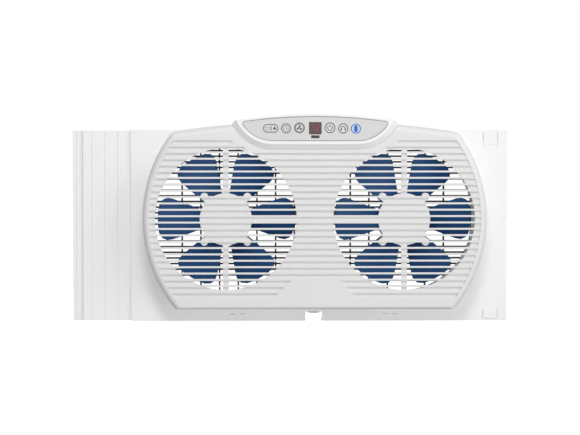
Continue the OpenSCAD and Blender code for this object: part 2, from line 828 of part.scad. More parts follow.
// A point of the blade: i counts outwards, j counts along the arc, face is 1 or -1
function blade_point(i, j, face) =
    let (r = station(i),
         s = j / blade_cols,
         arc = blade_root_arc + (blade_tip_arc - blade_root_arc) * out(r),
         inset = pull_in(r),
         angle = inset + s * (arc - 2 * inset),
         share = angle / arc,
         depth = blade_root_depth + (blade_tip_depth - blade_root_depth) * out(r),
         camber = 10 * share * (1 - share),
         half_t = blade_t / 2 * (0.4 + 2.4 * s * (1 - s)),
         front = blade_mid + depth * (share - 0.5) + camber - 1.5)
    [r * cos(angle), -front + face * half_t, r * sin(angle)];
function blade_index(i, j, face) = (face > 0 ? 0 : 1) + 2 * (j + i * (blade_cols + 1));
function quad(a, b, c, d) = [[a, b, c], [a, c, d]];

module blade() {
    points = [for (i = [0:blade_rows], j = [0:blade_cols], face = [1, -1])
        blade_point(i, j, face)];
    skins = [for (i = [0:blade_rows - 1], j = [0:blade_cols - 1], face = [1, -1])
        let (a = blade_index(i, j, face), b = blade_index(i + 1, j, face),
             c = blade_index(i + 1, j + 1, face), d = blade_index(i, j + 1, face))
        each face > 0 ? quad(a, b, c, d) : quad(d, c, b, a)];
    side_edges = [for (i = [0:blade_rows - 1], j = [0, blade_cols])
        let (a = blade_index(i, j, 1), b = blade_index(i + 1, j, 1),
             c = blade_index(i + 1, j, -1), d = blade_index(i, j, -1))
        each j == 0 ? quad(d, c, b, a) : quad(a, b, c, d)];
    end_edges = [for (j = [0:blade_cols - 1], i = [0, blade_rows])
        let (a = blade_index(i, j, 1), b = blade_index(i, j + 1, 1),
             c = blade_index(i, j + 1, -1), d = blade_index(i, j, -1))
        each i == 0 ? quad(a, b, c, d) : quad(d, c, b, a)];
    polyhedron(points, concat(skins, side_edges, end_edges));
}

module impeller(side) {
    color([0.13, 0.27, 0.48]) translate([side * fan_x, 0, fan_z]) {
        union() {
            hub();
            for (i = [0:blade_count - 1])
                rotate([0, -blade_start - i * 360 / blade_count, 0]) blade();
        }
    }
}

module shaft(side) {
    color("silver") translate([side * fan_x, 0, fan_z])
        rod(0, 0, shaft_r, -shaft_front, -shaft_end);
}

module rotor(side) {
    color("darkgray") translate([side * fan_x, 0, fan_z]) difference() {
        rod(0, 0, rotor_r, -stack_front, -stack_front + stack_l);
        rod(0, 0, shaft_r, -stack_front - 1, -stack_front + stack_l + 1);
    }
}

// Domed nut with six grips that holds the impeller on its shaft
module blade_nut(side) {
    color([0.13, 0.27, 0.48]) translate([side * fan_x, 0, fan_z]) difference() {
        rotate([90, 0, 0]) rotate_extrude() polygon([
            [0, hub_end - nut_l], [nut_r * 0.55, hub_end - nut_l],
            [nut_r * 0.85, hub_end - nut_l * 0.8], [nut_r, hub_end - nut_l * 0.4],
            [nut_r, hub_end], [0, hub_end]
        ]);
        rod(0, 0, shaft_r + 0.02, -hub_end - 1, -shaft_end);
        for (a = [0:60:300]) rotate([0, a, 0]) rod(nut_r + 0.8, 0, 1.8, -hub_end + 2.5, 0);
    }
}

// ---------------------------------------------------------------- control panel
plate_front = bezel_front - overlay_sink - overlay_t;
plate_back = plate_front - plate_t;
collar_t = 1.8;
collar_w = 1.2;
collar_front = plate_back - clear;
switch_top = collar_front - collar_t - button_travel - 0.1;
switch_h = 4;
board_front = switch_top - switch_h;
board_t = 1.6;
corner_sum = bezel_crest + bezel_tip;
bezel_mid_z = bezel_floor + bezel_corner_r;

// Each button: [x, z, radius]
button_drop = 21.7;
button_row_z = bezel_crest - button_drop;
buttons = [
    [-44.2, button_row_z, small_button_r],
    [-24, button_row_z + 0.8, button_r],
    [22.3, button_row_z + 0.8, button_r],
    [42.4, button_row_z, small_button_r],
    [61.6, button_row_z - 0.4, small_button_r]
];
mode_at = [-67.6, button_row_z];
display_z = button_row_z - 9;
ir_at = [0, display_z - 3.7];
ir_w = 12.6;
ir_h = 4.2;

// Outline of the control panel, moved in by inset, with its crest moved in by crest_inset
module bezel_plan(inset, crest_inset) {
    cut = corner_sum - crest_inset * sqrt(2);
    intersection() {
        union() {
            translate([-bezel_corner_x, bezel_floor + inset])
                square([2 * bezel_corner_x, 2 * bezel_corner_r]);
            for (side = [-1, 1]) translate([side * bezel_corner_x, bezel_mid_z])
                circle(r = bezel_corner_r - inset, $fn = 144);
        }
        translate([0, bezel_crest - bezel_crest_r])
            circle(r = bezel_crest_r - crest_inset, $fn = 720);
        polygon([[-cut, 0], [cut, 0], [0, cut]]);
    }
}

// Block of the control panel with its sloping border at the sides and below
module bezel_block(inset, back, front) {
    slope_back = front - 0.7 * bezel_slope;
    intersection() {
        union() {
            for (side = [-1, 1]) lathe(side * bezel_corner_x, bezel_mid_z) polygon([
                [0, back], [bezel_corner_r - inset, back], [bezel_corner_r - inset, slope_back],
                [bezel_corner_r - inset - bezel_slope, front], [0, front]
            ]);
            rotate([90, 0, 90]) translate([0, 0, -bezel_corner_x])
                linear_extrude(2 * bezel_corner_x) polygon([
                    [-back, bezel_floor + inset], [-slope_back, bezel_floor + inset],
                    [-front, bezel_floor + inset + bezel_slope],
                    [-front, edge_reach], [-back, edge_reach]
                ]);
        }
        slab(-front, -back) bezel_plan(inset - 1, inset);
    }
}

// Outline of the overlay and of the recess that it lies in
module overlay_plan(gap) {
    inset = bezel_slope + bezel_rim + gap;
    r = overlay_tip_r - gap;
    low = [bezel_corner_x, bezel_mid_z];
    high = [0, bezel_crest - bezel_crest_r];
    tip = crossing(low, bezel_corner_r - inset - r, high, bezel_crest_r - crest_rim - gap - r);
    from_low = tip - low;
    from_high = tip - high;
    start = atan2(from_low[1], from_low[0]);
    end = atan2(from_high[1], from_high[0]);
    difference() {
        bezel_plan(inset, crest_rim + gap);
        for (side = [0, 1]) mirror([side, 0]) translate(tip) difference() {
            polygon([[0, 0], for (a = [start, (start + end) / 2, end]) 3 * r * [cos(a), sin(a)]]);
            circle(r = r);
        }
    }
}

module button_holes(gap, y0, y1) {
    for (b = buttons) rod(b[0], b[1], b[2] + gap, y0, y1);
    slab(y0, y1) mode_plan(gap);
    slab(y0, y1) display_plan(gap / 3);
    slab(y0, y1) ir_plan(gap / 3);
}

module mode_plan(gap) {
    r = mode_h / 2 + gap;
    translate(mode_at) union() {
        for (side = [-1, 1]) translate([side * (mode_w - mode_h) / 2, 0]) circle(r = r);
        square([mode_w - mode_h, 2 * r], center = true);
    }
}

module display_plan(gap) {
    translate([-display_w / 2 - gap, display_z - gap])
        square([display_w + 2 * gap, display_h + 2 * gap]);
}

module ir_plan(gap) {
    translate([ir_at[0] - ir_w / 2 - gap, ir_at[1] - ir_h / 2 - gap])
        square([ir_w + 2 * gap, ir_h + 2 * gap]);
}

// Two screws beside the row of buttons, and two below it
board_screw_out = 84;
board_screw_in = 34;
board_screw_drop = 13.8;
board_screw_at = [
    for (side = [-1, 1]) [side * board_screw_out, button_row_z + 1.2],
    for (side = [-1, 1]) [side * board_screw_in, button_row_z - board_screw_drop]
];
board_half_w = 92;

module control_bezel() {
    color(white) difference() {
        union() {
            difference() {
                bezel_block(0, bezel_back, bezel_front);
                difference() {
                    slab(-plate_back, -bezel_back + 1) bezel_plan(wall, wall);
                    // closed back above the cover's crest
                    difference() {
                        slab(-bezel_back - wall, 0) bezel_plan(0, 0);
                        slab(-far / 8, 1) cover_plan(-clear, 0);
                    }
                }
            }
            for (p = board_screw_at) rod(p[0], p[1], 3.6, -plate_back - 1, -board_front);
        }
        slab(-bezel_front - 1, -plate_front) overlay_plan(-overlay_gap);
        button_holes(button_gap, -bezel_front, 0);
        for (p = board_screw_at)
            rod(p[0], p[1], screw_r * 0.7 + screw_gap, -plate_back - 1, 0);
    }
}

// Hole in the cover that the control panel drops into
module bezel_hole() {
    slab(-far / 8, -bezel_back) bezel_plan(-clear, -clear);
}

module control_overlay() {
    color([0.84, 0.85, 0.86]) difference() {
        slab(-bezel_front + overlay_sink, -plate_front) overlay_plan(0);
        button_holes(button_gap, -bezel_front, 0);
    }
}

module display_window() {
    color([0.35, 0.12, 0.15])
        slab(-bezel_front + overlay_sink, -plate_back) display_plan(0);
}

module ir_window() {
    color([0.2, 0.17, 0.18]) slab(-bezel_front + overlay_sink, -plate_back) ir_plan(0);
}

module control_board() {
    color("darkgreen") difference() {
        slab(-board_front, -board_front + board_t) intersection() {
            bezel_plan(wall + 3, wall + 3);
            translate([-board_half_w, bezel_floor]) square([2 * board_half_w, bezel_h]);
        }
        for (p = board_screw_at) rod(p[0], p[1], screw_r * 0.7 + 0.2, -board_front - 1, 0);
    }
}

module display_module() {
    color([0.15, 0.15, 0.15]) slab(-plate_back + 0.2, -board_front)
        translate([-display_w / 2 + 1, display_z + 0.5]) square([display_w - 2, display_h - 1]);
}

module ir_receiver() {
    color([0.1, 0.1, 0.1]) slab(-plate_back + 0.5, -board_front)
        translate([ir_at[0] - 3, ir_at[1] - 2.2]) square([6, 4.4]);
}

// One switch under each button, two under the mode button
switch_at = concat(
    [for (b = buttons) [b[0], b[1]]],
    [for (side = [-1, 1]) [mode_at[0] + side * mode_w / 4, mode_at[1]]]
);
module tact_switches() {
    half = 3;
    plunger_r = 1.6;
    color("dimgray") for (p = switch_at) {
        block(p[0] - half, p[0] + half, -board_front - switch_h + 1, -board_front,
            p[1] - half, p[1] + half);
        rod(p[0], p[1], plunger_r, -switch_top, -board_front - 1);
    }
}

module board_screws() {
    color("silver") for (p = board_screw_at) {
        rod(p[0], p[1], screw_r * 0.7, -plate_back, -board_front + board_t + eps);
        rod(p[0], p[1], 2.6, -board_front + board_t, -board_front + board_t + 1.6);
    }
}

button_front = bezel_front - overlay_sink + button_proud;

// Round button with a retaining collar behind the plate, and a crowned edge
module round_button(index, tint) {
    b = buttons[index];
    color(tint) {
        lathe(b[0], b[1]) polygon([
            [0, collar_front - collar_t], [b[2] + collar_w, collar_front - collar_t],
            [b[2] + collar_w, collar_front], [b[2], collar_front],
            [b[2], button_front - 0.5], [b[2] - 0.5, button_front], [0, button_front]
        ]);
    }
}

module button_mode() {
    color([0.84, 0.85, 0.86]) {
        slab(-button_front, -collar_front + eps) mode_plan(0);
        slab(-collar_front, -collar_front + collar_t) mode_plan(collar_w);
    }
}

// ---------------------------------------------------------------- speaker
speaker_z = fan_z + 6;
speaker_r = 22;
speaker_boss_r = 27;
speaker_face = cover_d - face_t - 2;
basket_d = 14;
basket_taper = 8;
basket_t = 1.5;
magnet_r = 13;
magnet_l = 8;

module speaker_bosses() {
    for (a = [45:90:315])
        rod(speaker_boss_r * cos(a), speaker_z + speaker_boss_r * sin(a), 3,
            boss_end, -speaker_face);
}
module speaker_holes() {
    for (a = [45:90:315])
        rod(speaker_boss_r * cos(a), speaker_z + speaker_boss_r * sin(a),
            screw_r * 0.7 + screw_gap, boss_end, 0);
}

// Pressed frame, yoke and magnet of the small loudspeaker behind the slats
module speaker_frame() {
    color("dimgray") difference() {
        union() {
            slab(-speaker_face, -speaker_face + 1.2) difference() {
                translate([0, speaker_z]) circle(r = speaker_boss_r + 4.5);
                translate([0, speaker_z]) circle(r = speaker_r - 2);
            }
            lathe(0, speaker_z) polygon([
                [speaker_r, speaker_face], [speaker_r - basket_taper, speaker_face - basket_d],
                [0, speaker_face - basket_d], [0, speaker_face - basket_d + basket_t],
                [speaker_r - basket_taper - 1, speaker_face - basket_d + basket_t],
                [speaker_r - 2, speaker_face]
            ]);
            rod(0, speaker_z, magnet_r, -speaker_face + basket_d - eps,
                -speaker_face + basket_d + magnet_l);
        }
        for (a = [45:90:315])
            rod(speaker_boss_r * cos(a), speaker_z + speaker_boss_r * sin(a),
                screw_r * 0.7 + 0.2, -speaker_face - 1, -speaker_face + 2);
    }
}

module speaker_cone() {
    color([0.12, 0.12, 0.12]) lathe(0, speaker_z) polygon([
        [speaker_r - 3.2, speaker_face - 0.4], [speaker_r - 3.2, speaker_face - 1],
        [7, speaker_face - basket_d + 3.5], [0, speaker_face - basket_d + 1.8],
        [0, speaker_face - basket_d + 5.5], [6, speaker_face - basket_d + 6],
        [speaker_r - 4.8, speaker_face - 0.4]
    ]);
}

module speaker_screws() {
    color("silver") for (a = [45:90:315]) {
        x = speaker_boss_r * cos(a);
        z = speaker_z + speaker_boss_r * sin(a);
        rod(x, z, screw_r * 0.7, boss_end + 0.4, -speaker_face + 1.2 + eps);
        rod(x, z, 2.6, -speaker_face + 1.2, -speaker_face + 2.8);
    }
}

// ---------------------------------------------------------------- power board and cord gland
power_w = 44;
power_h = 60;
power_z = box_floor + boss_lift + boss_r + 2 + power_h / 2;
power_post_l = 8;
power_y = box_d - wall - power_post_l;
power_post_at = [for (sx = [-1, 1], sz = [-1, 1]) [sx * (power_w / 2 - 4), power_z + sz * (power_h / 2 - 4)]];

module power_board_posts() {
    for (p = power_post_at) rod(p[0], p[1], 3.4, power_y, box_d);
}
module power_board_holes() {
    for (p = power_post_at) rod(p[0], p[1], screw_r * 0.7 + screw_gap, power_y - 1, box_d - wall);
}

module power_board() {
    color("darkgreen") difference() {
        block(-power_w / 2, power_w / 2, power_y - board_t, power_y,
            power_z - power_h / 2, power_z + power_h / 2);
        for (p = power_post_at) rod(p[0], p[1], screw_r * 0.7 + 0.2, power_y - 3, power_y + 1);
    }
}

module power_board_screws() {
    color("silver") for (p = power_post_at) {
        rod(p[0], p[1], screw_r * 0.7, power_y - board_t - eps, power_y + power_post_l - 1);
        rod(p[0], p[1], 2.6, power_y - board_t - 1.6, power_y - board_t);
    }
}

capacitor_w = 18;
capacitor_h = 18;
capacitor_l = 16;
module run_capacitors() {
    color("goldenrod") for (side = [-1, 1])
        translate([side * power_w / 4, power_y - board_t - capacitor_l, power_z + 3])
            translate([-capacitor_w / 2, 0, -capacitor_h / 2])
                cube([capacitor_w, capacitor_l, capacitor_h]);
}

gland_y = 12;
gland_r = 6;
gland_bore_r = 3.6;
// Bush for the mains lead in the floor of the rear box, above the notch
module cord_gland() {
    color([0.2, 0.2, 0.21]) translate([0, gland_y, box_floor]) difference() {
        rotate_extrude() polygon([
            [gland_bore_r, -wall - 1.6], [gland_r + 3, -wall - 1.6], [gland_r + 3.5, -wall],
            [gland_r, -wall], [gland_r, 0], [gland_r + 2.5, 0], [gland_r + 2.5, 2],
            [gland_bore_r, 2]
        ]);
    }
}

// ---------------------------------------------------------------- side panel
panel_z1 = frame_h - panel_z0;
slide_front = flange_t + slide_gap;
slide_right = -frame_left + slide_hidden;
lip_y = rail_y + rail_t + slide_gap;
rib_count = 4;

// Ribbed slide: face with V grooves, returned edges above and below, and lips behind the rails
module slide_panel() {
    color(white) difference() {
        union() {
            block(-slide_left, slide_right, slide_front, slide_front + slide_t, panel_z0, panel_z1);
            for (top = [0, 1]) translate([0, 0, top == 0 ? 0 : frame_h]) mirror([0, 0, top]) {
                block(-slide_left, slide_right, slide_front, lip_y + slide_t,
                    panel_z0, panel_z0 + slide_t);
                block(-slide_left, slide_right, lip_y, lip_y + slide_t,
                    panel_z0, rail_z0 + rail_h * 0.6);
            }
        }
        for (i = [0:rib_count - 1])
            translate([-slide_left + rib_pitch * (i + 0.63), slide_front, 0]) rotate([0, 0, 45])
                block(-0.65, 0.65, -0.65, 0.65, -1, frame_h + 1);
    }
}

strip_front = slide_front + slide_t + slide_gap;
strip_right = -slide_left + strip_hidden;
// Outer slide: flat plate inside the ribbed slide, with a full height strip at its free end
module slide_end() {
    strip_left = -slide_left - strip_w;
    step_w = 5.8;
    color(white) difference() {
        union() {
            block(-slide_left - clear - 1, strip_right, strip_front, strip_front + slide_t,
                rail_z0, frame_h - rail_z0);
            block(strip_left, -slide_left - clear, strip_front, strip_front + slide_d - slide_t,
                panel_z0, panel_z1);
        }
        block(strip_left + wall, -slide_left - clear - wall, strip_front + slide_t,
            strip_front + slide_d, panel_z0 + wall, panel_z1 - wall);
        block(strip_left - 1, strip_left + step_w, strip_front - 1, strip_front + 0.6, -1, frame_h + 1);
    }
}

// ---------------------------------------------------------------- latches
latch_x1 = frame_right - latch_edge;
latch_x0 = latch_x1 - latch_w;
latch_root = wall + clear;

// Window in the flange: end is 1 at the top and -1 at the bottom
module latch_window(end) {
    translate([0, 0, frame_h / 2]) mirror([0, 0, end > 0 ? 0 : 1]) translate([0, 0, frame_h / 2])
        block(latch_x0 - slit_w, latch_x1 + slit_w, -1, flange_t + 1,
            -latch_root - latch_h - slit_w, -wall);
}

// Sprung tongue, hung from the ledge by its rounded root, with a finger lip and a catch
module latch() {
    root_half = flange_t / 2;
    lip = 6.8;
    translate([latch_x0, root_half, -latch_root - root_half]) rotate([0, 90, 0])
        cylinder(r = root_half, h = latch_w);
    block(latch_x0, latch_x1, 0, flange_t, -latch_root - latch_h + lip, -latch_root - root_half);
    block(latch_x0, latch_x1, 0.5, flange_t, -latch_root - latch_h, -latch_root - latch_h + lip);
    translate([latch_x0 + latch_w / 4, flange_t, -latch_root - latch_h + 1]) rotate([0, 90, 0])
        rotate([0, 0, 90]) linear_extrude(latch_w / 2)
            polygon([[0, 0], [-eps, 0], [-eps, 5], [0, 5], [1.6, 4], [1.6, 2]]);
}

module latch_upper() {
    color(white) translate([0, 0, frame_h]) latch();
}

module latch_lower() {
    color(white) mirror([0, 0, 1]) latch();
}

main_housing();
front_cover();
rear_grille();
grille_screws();
cover_screws();
motor_case(-1);  // motor_case_left
motor_case(1);  // motor_case_right
motor_bell(-1);  // motor_bell_left
motor_bell(1);  // motor_bell_right
stator(-1);  // stator_left
stator(1);  // stator_right
windings(-1);  // windings_left
windings(1);  // windings_right
bearings(-1);  // bearings_left
bearings(1);  // bearings_right
motor_screws();
impeller(-1);  // impeller_left
impeller(1);  // impeller_right
shaft(-1);  // shaft_left
shaft(1);  // shaft_right
rotor(-1);  // rotor_left
rotor(1);  // rotor_right
blade_nut(-1);  // blade_nut_left
blade_nut(1);  // blade_nut_right
control_bezel();
control_overlay();
display_window();
ir_window();
control_board();
display_module();
ir_receiver();
tact_switches();
board_screws();
button_mode();
round_button(0, [0.84, 0.85, 0.86]);  // button_timer
round_button(1, [0.84, 0.85, 0.86]);  // button_speed
round_button(2, [0.84, 0.85, 0.86]);  // button_power
round_button(3, [0.84, 0.85, 0.86]);  // button_sound
round_button(4, [0.84, 0.85, 0.86]);  // button_pairing
speaker_frame();
speaker_cone();
speaker_screws();
power_board();
run_capacitors();
power_board_screws();
cord_gland();
slide_panel();
slide_end();
latch_upper();
latch_lower();
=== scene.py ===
"""Twin window fan: the finishes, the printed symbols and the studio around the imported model."""

import json
import math

import bmesh
import bpy
from bpy.props import FloatProperty, FloatVectorProperty, IntProperty, PointerProperty
from mathutils import Matrix, Vector

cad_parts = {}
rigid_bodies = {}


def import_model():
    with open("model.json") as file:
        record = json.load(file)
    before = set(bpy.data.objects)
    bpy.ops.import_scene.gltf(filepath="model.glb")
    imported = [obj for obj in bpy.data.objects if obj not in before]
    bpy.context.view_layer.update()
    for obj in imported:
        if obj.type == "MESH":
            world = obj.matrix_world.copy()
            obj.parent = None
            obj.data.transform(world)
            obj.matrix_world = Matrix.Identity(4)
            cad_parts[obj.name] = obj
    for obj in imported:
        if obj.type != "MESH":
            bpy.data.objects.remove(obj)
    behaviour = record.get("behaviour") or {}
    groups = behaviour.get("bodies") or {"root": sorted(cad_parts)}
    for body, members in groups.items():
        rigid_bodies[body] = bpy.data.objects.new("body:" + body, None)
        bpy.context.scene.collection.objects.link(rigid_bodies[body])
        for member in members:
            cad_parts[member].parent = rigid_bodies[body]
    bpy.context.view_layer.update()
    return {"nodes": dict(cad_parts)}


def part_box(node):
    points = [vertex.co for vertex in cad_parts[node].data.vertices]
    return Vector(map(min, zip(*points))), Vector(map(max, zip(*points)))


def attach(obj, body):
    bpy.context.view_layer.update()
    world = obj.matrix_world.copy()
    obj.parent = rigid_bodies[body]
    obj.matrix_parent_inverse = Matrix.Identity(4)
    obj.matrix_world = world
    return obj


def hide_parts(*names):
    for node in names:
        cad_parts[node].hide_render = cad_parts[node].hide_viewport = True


bl_info = {
    "name": "Twin Window Fan",
    "version": (1, 0, 0),
    "blender": (4, 5, 0),
    "location": "3D View > Sidebar > Window Fan",
    "description": "Finishes a twin window fan: plastics, metals, printed symbols and a studio",
    "category": "Object",
}

for leftover in list(bpy.data.objects):
    bpy.data.objects.remove(leftover)
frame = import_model()

SIDES = ("left", "right")
PLAIN_SHELLS = ("slide_panel", "slide_end", "latch_upper", "latch_lower")

WELD = 0.000005  # vertices nearer to each other than this, in metres, are one
CREASE = math.radians(30)  # a surface that turns by less than this is shaded as round
CAP_COLLAR = 0.0012  # how far the hidden collar of a button stands out past its cap, in metres
OVERWHITE = 1.05  # how bright the floor is where it is seen, a little over white


# ---------------------------------------------------------------- settings
def colour(name, text, value):
    """A colour that a user can change."""
    return FloatVectorProperty(
        name=name, description=text, subtype="COLOR", size=3, min=0, max=1, default=value
    )


def length(name, text, value):
    """A length in metres that a user can change."""
    return FloatProperty(
        name=name, description=text, unit="LENGTH", min=0, default=value, precision=5
    )


def angle(name, text, degrees):
    """An angle that a user can change."""
    return FloatProperty(
        name=name, description=text, unit="ROTATION", default=math.radians(degrees)
    )


def amount(name, text, value):
    """A plain number, such as a power in watts, that a user can change."""
    return FloatProperty(name=name, description=text, min=0, default=value)


class FanColours(bpy.types.PropertyGroup):
    """Colours of the fan's plastics, prints and metals."""

    housing: colour("Housing", "White of the frame, slides and control panel", (0.80, 0.80, 0.80))
    cover: colour("Cover", "Slightly greyer white of the slatted cover", (0.68, 0.68, 0.68))
    blades: colour("Blades", "Blue of the two impellers", (0.007, 0.054, 0.165))
    # The grille's near-black is painted shade: it stands in for the shadow on a grille deep behind
    # the cover.
    grille: colour("Rear grille", "Black of the rear grille", (0.010, 0.010, 0.012))
    overlay: colour("Overlay", "Grey film on the control panel", (0.60, 0.60, 0.60))
    outline: colour("Outline", "Grey of the line round the overlay", (0.21, 0.21, 0.21))
    ink: colour("Ink", "Dark grey of the printed symbols", (0.055, 0.055, 0.058))
    button: colour("Buttons", "Grey of the button caps", (0.62, 0.62, 0.62))
    pairing: colour("Pairing button", "Pale grey-blue of the pairing button", (0.46, 0.60, 0.80))
    pairing_ink: colour("Pairing ink", "Blue print on the pairing button", (0.020, 0.105, 0.37))
    display: colour("Display", "Dark red filter of the display", (0.080, 0.036, 0.042))
    digits: colour("Digits", "Dim red of the display's digits", (0.20, 0.048, 0.058))
    infrared: colour("Infra-red window", "Nearly black filter", (0.030, 0.022, 0.025))
    steel: colour("Steel", "Zinc-plated steel of cases and screws", (0.58, 0.60, 0.62))
    copper: colour("Copper", "Enamelled wire of the windings", (0.62, 0.25, 0.11))
    bronze: colour("Bronze", "Sintered bronze of the bearings", (0.50, 0.33, 0.15))
    board: colour("Circuit board", "Green solder resist", (0.012, 0.12, 0.045))
    component: colour("Components", "Black of the modules and switches", (0.02, 0.02, 0.022))
    capacitor: colour("Capacitors", "Orange-brown of the run capacitors", (0.55, 0.24, 0.03))
    speaker: colour("Loudspeaker", "Black paint of its frame", (0.03, 0.03, 0.033))
    cone: colour("Cone", "Black paper of the loudspeaker's cone", (0.03, 0.03, 0.03))


class FanPrint(bpy.types.PropertyGroup):
    """Sizes of the printed symbols and the display's digits."""

    thickness: length("Ink thickness", "How thick the raised ink is", 0.00012)
    sink: length("Ink sink", "How far the ink reaches into the surface", 0.00004)
    line: length("Line", "Width of a printed ring", 0.0011)
    fine_line: length("Fine line", "Width of the thin lines in a symbol", 0.0008)
    outline: length("Overlay outline", "Width of the dark line round the overlay", 0.0009)
    ring_inset: length("Ring inset", "From a cap's edge to the middle of its ring", 0.0006)
    digit_height: length("Digit height", "Height of a digit on the display", 0.0105)
    digit_width: length("Digit width", "Width of a digit on the display", 0.0054)
    digit_shift: length("Digit shift", "From the display's middle to a digit's", 0.003672)
    digit_glow: amount("Digit glow", "Strength of the light from the digits", 0.1)
    number: IntProperty(
        name="Number", description="Number on the display", default=72, min=0, max=99
    )


class FanStudio(bpy.types.PropertyGroup):
    """Camera, lamps and floor."""

    lens: amount("Lens", "Focal length in mm on a 36 mm sensor", 119.7)
    distance: length("Distance", "From the camera to the flange", 3.0)
    yaw: angle("Yaw", "How far the camera stands to the left", 1.15)
    rise: angle("Elevation", "How far the camera stands above", 1.7)
    aim: FloatVectorProperty(
        name="Aim", description="Point in the middle of the picture", subtype="XYZ", size=3,
        default=(-0.0369, 0.0, 0.1610),
    )
    side_power: amount("Side lamp", "Power of the lamp at the right in W", 158)
    top_power: amount("Top lamp", "Power of the lamp overhead in W", 19.5)
    front_power: amount("Front lamp", "Power of the lamp above the camera in W", 78)
    back_power: amount("Back lamp", "Power of the lamp behind in W", 70)
    ambient: amount("Ambient", "Strength of the world's light", 0.40)
    floor_tone: amount("Floor tone", "Share of the light that the floor gives back", 0.5)
    floor_drop: length("Floor drop", "How far the floor lies below the sill", 0.30)
    floor_size: length("Floor size", "Width of the floor", 60.0)


# ---------------------------------------------------------------- shader nodes
class Wire:
    """An output socket whose arithmetic adds Math nodes."""

    def __init__(self, finish, socket):
        self.finish = finish
        self.socket = socket

    def math(self, operation, *values):
        """Adds a Math node and returns its result."""
        return self.finish.add("ShaderNodeMath", {"operation": operation}, dict(enumerate(values)))

    def __add__(self, other):
        return self.math("ADD", self, other)

    def __radd__(self, other):
        return self.math("ADD", other, self)

    def __sub__(self, other):
        return self.math("SUBTRACT", self, other)

    def __rsub__(self, other):
        return self.math("SUBTRACT", other, self)

    def __mul__(self, other):
        return self.math("MULTIPLY", self, other)

    def __rmul__(self, other):
        return self.math("MULTIPLY", other, self)


class Finish:
    """The nodes of a new material, or of a new world, under construction."""

    def __init__(self, name, kind="materials"):
        self.owner = getattr(bpy.data, kind).new(name)
        self.owner.use_nodes = True
        self.tree = self.owner.node_tree
        self.tree.nodes.clear()

    def add(self, kind, settings=None, sockets=None, output=0):
        """Adds a node, sets it up, fills or links its sockets, and returns one of its outputs."""
        node = self.tree.nodes.new(kind)
        for key, value in (settings or {}).items():
            if key == "stops":
                for element, (place, tone) in zip(node.color_ramp.elements, value):
                    element.position = place
                    element.color = (tone, tone, tone, 1)
            else:
                setattr(node, key, value)
        for key, value in (sockets or {}).items():
            if isinstance(value, Wire):
                self.tree.links.new(value.socket, node.inputs[key])
            else:
                node.inputs[key].default_value = value
        return Wire(self, node.outputs[output]) if node.outputs else None

    def place(self, stretch=(1, 1, 1)):
        """Object coordinates, squeezed by stretch along each axis."""
        here = self.add("ShaderNodeTexCoord", output="Object")
        return self.add("ShaderNodeMapping", sockets={"Vector": here, "Scale": stretch})

    def noise(self, scale, detail, stretch=(1, 1, 1)):
        """Soft noise from 0 to 1, with scale lumps to the metre."""
        sockets = {"Vector": self.place(stretch), "Scale": scale, "Detail": detail}
        return self.add("ShaderNodeTexNoise", sockets=sockets)

    def waves(self, direction, scale, distortion):
        """Stripes from 0 to 1 that follow one another in that direction."""
        sockets = {"Vector": self.place(), "Scale": scale, "Distortion": distortion}
        return self.add("ShaderNodeTexWave", {"bands_direction": direction}, sockets)

    def step(self, value, low, high):
        """0 below low, 1 above high, and a ramp between them."""
        return self.add("ShaderNodeValToRGB", {"stops": ((low, 0), (high, 1))}, {0: value})

    def mix(self, share, first, second):
        """Mixes two colours."""
        first, second = [
            c if isinstance(c, Wire) else (*c, 1) if len(c) == 3 else c for c in (first, second)
        ]
        sockets = {0: share, 6: first, 7: second}
        return self.add("ShaderNodeMix", {"data_type": "RGBA"}, sockets, output=2)

    def relief(self, height, depth, edge):
        """A normal with edges rounded over edge metres and relief of that depth."""
        round_edge = self.add("ShaderNodeBevel", {"samples": 4}, {"Radius": edge})
        sockets = {"Height": height, "Distance": depth, "Normal": round_edge}
        return self.add("ShaderNodeBump", sockets=sockets)

    def seen_directly(self):
        """1 for rays from the camera, off gloss or through glass, else 0."""
        camera, glossy, through = [
            self.add("ShaderNodeLightPath", output=name)
            for name in ("Is Camera Ray", "Is Glossy Ray", "Is Transmission Ray")
        ]
        return camera.math("MAXIMUM", camera, glossy.math("MAXIMUM", glossy, through))

    def surface(self, **sockets):
        """Ends a material in a Principled surface, with names such as base_color for sockets."""
        named = {SOCKET_NAMES[key]: value for key, value in sockets.items()}
        shader = self.add("ShaderNodeBsdfPrincipled", sockets=named)
        self.add("ShaderNodeOutputMaterial", sockets={"Surface": shader})
        return self.owner


SOCKET_NAMES = {
    "base_color": "Base Color",
    "roughness": "Roughness",
    "metallic": "Metallic",
    "normal": "Normal",
    "coat": "Coat Weight",
    "coat_roughness": "Coat Roughness",
    "specular": "Specular IOR Level",
    "emission": "Emission Color",
    "emission_strength": "Emission Strength",
}


def shade(base, share):
    """A colour made darker, or lighter where share is above 1."""
    return tuple(min(1.0, c * share) for c in base)


def moulded_plastic(name, base, rough=0.5, grain=0.00003):
    """Injection-moulded plastic: a fine spark-eroded grain, a faint mottle and soft edges."""
    finish = Finish(name)
    cloud = finish.noise(scale=7, detail=3)
    grit = finish.noise(scale=1500, detail=2)
    tone = finish.mix(cloud, shade(base, 0.975), shade(base, 1.02))
    pits = finish.step(grit, low=0.45, high=0.75)
    return finish.surface(
        base_color=finish.mix(pits * 0.12, tone, shade(base, 0.9)),
        roughness=rough + 0.07 * cloud + 0.08 * grit,
        specular=0.4,
        normal=finish.relief(grit, depth=grain, edge=0.0004),
    )


